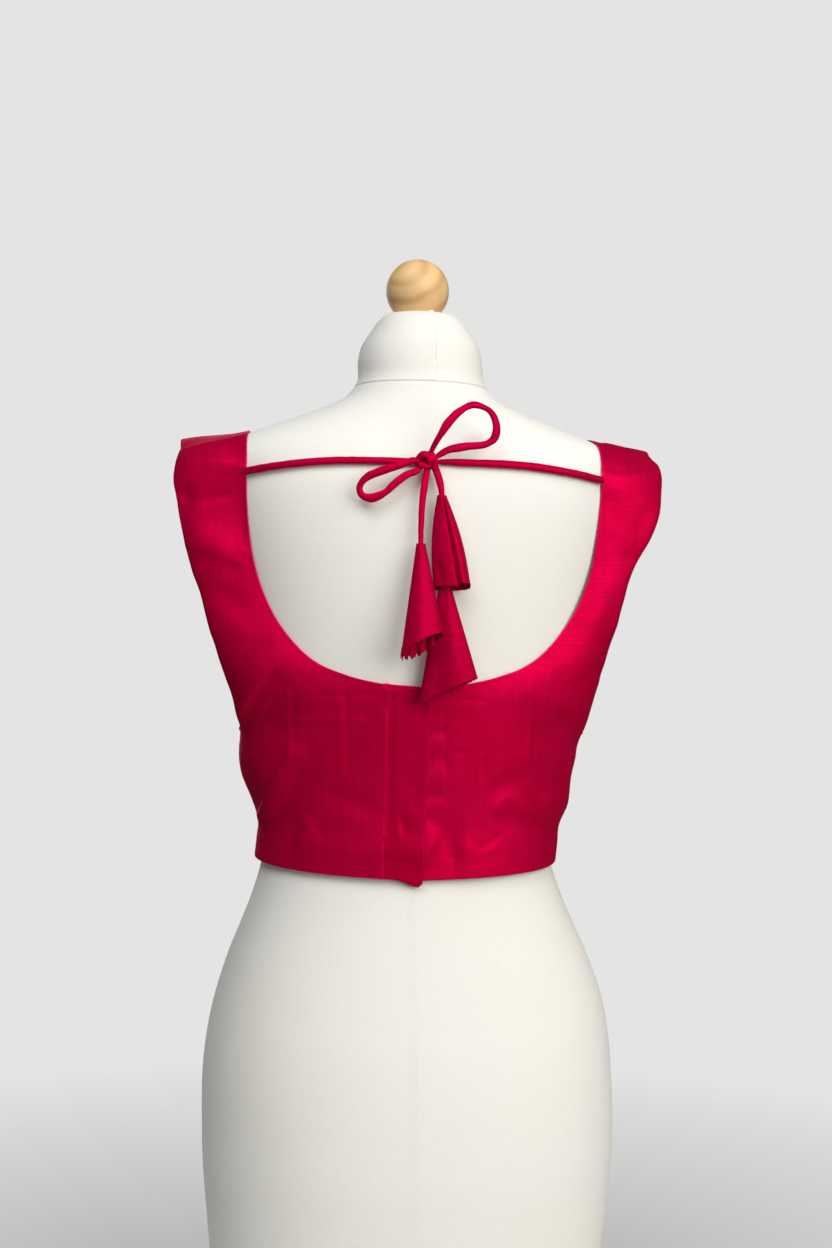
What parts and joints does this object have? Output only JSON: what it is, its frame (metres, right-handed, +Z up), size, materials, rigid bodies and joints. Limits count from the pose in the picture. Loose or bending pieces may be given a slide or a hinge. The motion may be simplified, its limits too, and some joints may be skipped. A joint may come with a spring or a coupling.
{
  "type": "choli blouse on a dress form",
  "caption": "Fitted cropped sleeveless blouse with wide shoulders, a deep U back, a centre back placket and a tied cord with cloth cone pendants, worn on a limbless dress form.",
  "frame": {"origin": "on the floor, under the middle of the round base and of the form", "axes": "+Z up, with the longest extent along it; the wearer's back, which the picture shows, faces -Y and the front faces +Y; +X is the wearer's right"},
  "size_m": [0.4004, 0.32, 1.013],
  "materials": {
    "satin": "crimson satin with a soft sheen",
    "jersey": "cream white jersey, matt",
    "beech": "light beech, satin varnish"
  },
  "bodies": {
    "root": {"front": "satin", "back_left": "satin", "back_right": "satin", "placket": "satin", "tie_left": "satin", "tie_right": "satin", "loop_upper": "satin", "loop_lower": "satin", "end_left": "satin", "end_right": "satin", "knot": "satin", "latkan_left": "satin", "latkan_upper": "satin", "latkan_lower": "satin", "form_torso": "jersey", "form_neck": "jersey", "form_finial": "beech", "form_pole": "beech", "form_base": "beech"}
  },
  "joints": []
}
